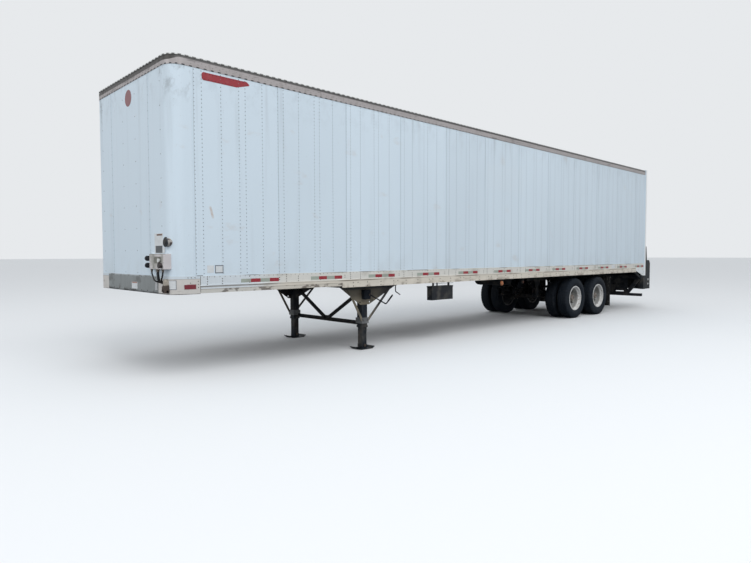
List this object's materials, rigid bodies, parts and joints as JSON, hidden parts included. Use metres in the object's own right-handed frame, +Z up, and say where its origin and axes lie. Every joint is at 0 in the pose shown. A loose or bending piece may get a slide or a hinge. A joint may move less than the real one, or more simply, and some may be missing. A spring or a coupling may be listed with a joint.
{
  "type": "dry van semi trailer",
  "caption": "Two-axle dry van semi trailer with rounded front corners, landing legs, dual wheels and a rail lift gate stored upright behind the rear door.",
  "frame": {"origin": "centre of the bounding box at ground level", "axes": "+X forward towards the kingpin end, +Y the left (road) side of the trailer, +Z up"},
  "size_m": [15.144, 2.59, 4.064],
  "materials": {
    "white_panel": "satin",
    "aluminium_rail": "worn",
    "cream_rail": "dirty",
    "galvanised": "weathered",
    "black_steel": "satin",
    "dark_steel": "dirty",
    "bare_steel": "worn",
    "wood_floor": "worn",
    "tyre": "matt",
    "wheel_white": "dirty",
    "rubber_black": "matt",
    "lamp_plastic": "gloss",
    "grey_box": "satin",
    "beige_dust": "dusty"
  },
  "bodies": {
    "trailer": {"air_tanks": "dark_steel", "axle_front": "dark_steel", "axle_rear": "dark_steel", "battery_box": "black_steel", "bogie_frame": "dark_steel", "bottom_rail_left": "cream_rail", "bottom_rail_right": "cream_rail", "brake_chambers": "dark_steel", "corner_casting_left": "cream_rail", "corner_casting_right": "cream_rail", "coupler_plate": "galvanised", "cross_members": "dark_steel", "document_canister": "black_steel", "floor": "wood_floor", "front_apron": "galvanised", "front_corner_left": "white_panel", "front_corner_right": "white_panel", "front_header": "aluminium_rail", "front_hoses": "rubber_black", "front_wall": "white_panel", "gate_column_left": "black_steel", "gate_column_right": "black_steel", "gladhand": "grey_box", "kingpin": "bare_steel", "lamps": "lamp_plastic", "landing_brace": "beige_dust", "landing_crank": "beige_dust", "landing_leg_left": "beige_dust", "landing_leg_right": "beige_dust", "landing_wing_left": "beige_dust", "landing_wing_right": "beige_dust", "leaf_springs": "dark_steel", "mud_flap_left": "rubber_black", "mud_flap_right": "rubber_black", "nose_box": "grey_box", "rear_door": "white_panel", "rear_header": "white_panel", "rear_post_left": "white_panel", "rear_post_right": "white_panel", "rear_sill": "dark_steel", "roof": "aluminium_rail", "service_fitting": "cream_rail", "side_wall_left": "white_panel", "side_wall_right": "white_panel", "top_rail_left": "aluminium_rail", "top_rail_right": "aluminium_rail", "underride_guard": "black_steel"},
    "wheels_front_left": {"tyres_front_left": "tyre", "wheel_front_left": "wheel_white"},
    "wheels_front_right": {"tyres_front_right": "tyre", "wheel_front_right": "wheel_white"},
    "wheels_rear_left": {"tyres_rear_left": "tyre", "wheel_rear_left": "wheel_white"},
    "wheels_rear_right": {"tyres_rear_right": "tyre", "wheel_rear_right": "wheel_white"},
    "gate_runner": {"gate_runner": "black_steel"},
    "gate_platform": {"gate_platform": "black_steel"}
  },
  "joints": [
    {"name": "wheels_front_left_turn", "type": "hinge", "parent": "trailer", "child": "wheels_front_left", "pos_m": [-2.933, 0.9725, 0.4985], "axis": [0, 1, 0], "continuous": true},
    {"name": "wheels_front_right_turn", "type": "hinge", "parent": "trailer", "child": "wheels_front_right", "pos_m": [-2.933, -0.9725, 0.4985], "axis": [0, 1, 0], "continuous": true},
    {"name": "wheels_rear_left_turn", "type": "hinge", "parent": "trailer", "child": "wheels_rear_left", "pos_m": [-4.178, 0.9725, 0.4985], "axis": [0, 1, 0], "continuous": true},
    {"name": "wheels_rear_right_turn", "type": "hinge", "parent": "trailer", "child": "wheels_rear_right", "pos_m": [-4.178, -0.9725, 0.4985], "axis": [0, 1, 0], "continuous": true},
    {"name": "gate_lift", "type": "slide", "parent": "trailer", "child": "gate_runner", "axis": [0, 0, 1], "range_m": [-0.49, 0.666]},
    {"name": "platform_fold", "type": "hinge", "parent": "gate_runner", "child": "gate_platform", "pos_m": [-7.28, 0, 0.6], "axis": [0, -1, 0], "range_deg": [0, 90]}
  ]
}
